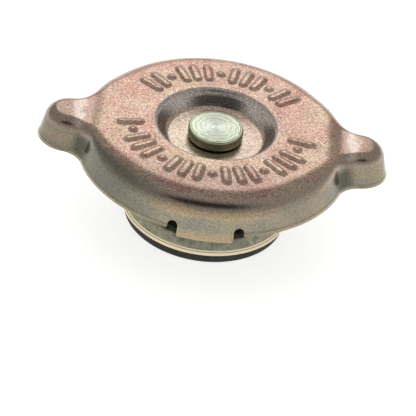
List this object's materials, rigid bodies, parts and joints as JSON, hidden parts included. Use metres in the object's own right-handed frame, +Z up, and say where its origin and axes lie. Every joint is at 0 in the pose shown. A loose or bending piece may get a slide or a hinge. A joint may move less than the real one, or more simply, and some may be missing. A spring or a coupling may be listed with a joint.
{
  "type": "radiator cap",
  "caption": "Pressed-steel radiator pressure cap with two lifting ears, folded locking tabs, a sprung pressure valve with a rubber seal and a small vacuum valve.",
  "frame": {"origin": "centre of the main seal's underside, on the cap's axis", "axes": "+Z up along the rivet, X along the two ears, locking tabs at -Y and +Y"},
  "size_m": [0.0826, 0.064, 0.0265],
  "materials": {
    "passivated_steel": "yellow zinc passivate, satin",
    "bright_steel": "bright turned",
    "spring_steel": "drawn",
    "plain_steel": "pressed",
    "grey_passivated_steel": "grey-green passivate",
    "valve_brass": "turned",
    "black_rubber": "matt"
  },
  "bodies": {
    "cap": {"cap_shell": "passivated_steel"},
    "carrier": {"centre_rivet": "bright_steel", "spring_disc": "spring_steel", "neck_gasket": "black_rubber", "spring_seat": "plain_steel", "spring_bell": "plain_steel", "main_spring": "spring_steel"},
    "pressure_valve": {"valve_cup": "grey_passivated_steel", "main_seal": "black_rubber", "seal_plate": "plain_steel", "vacuum_seat": "plain_steel", "vacuum_spring": "spring_steel"},
    "vacuum_valve": {"vacuum_disc": "valve_brass", "vacuum_washer": "black_rubber", "vacuum_stem": "valve_brass", "stem_collar": "valve_brass"}
  },
  "joints": [
    {"name": "cap_swivel", "type": "hinge", "parent": "cap", "child": "carrier", "pos_m": [0, 0, 0.022], "axis": [0, 0, 1], "continuous": true},
    {"name": "pressure_lift", "type": "slide", "parent": "carrier", "child": "pressure_valve", "axis": [0, 0, 1], "range_m": [0, 0.003], "stiffness_N_per_m": 4000, "springref_m": -0.003, "deforming": ["main_spring"]},
    {"name": "vacuum_open", "type": "slide", "parent": "pressure_valve", "child": "vacuum_valve", "axis": [0, 0, -1], "range_m": [0, 0.0011], "stiffness_N_per_m": 100, "springref_m": -0.002, "deforming": ["vacuum_spring"]}
  ]
}
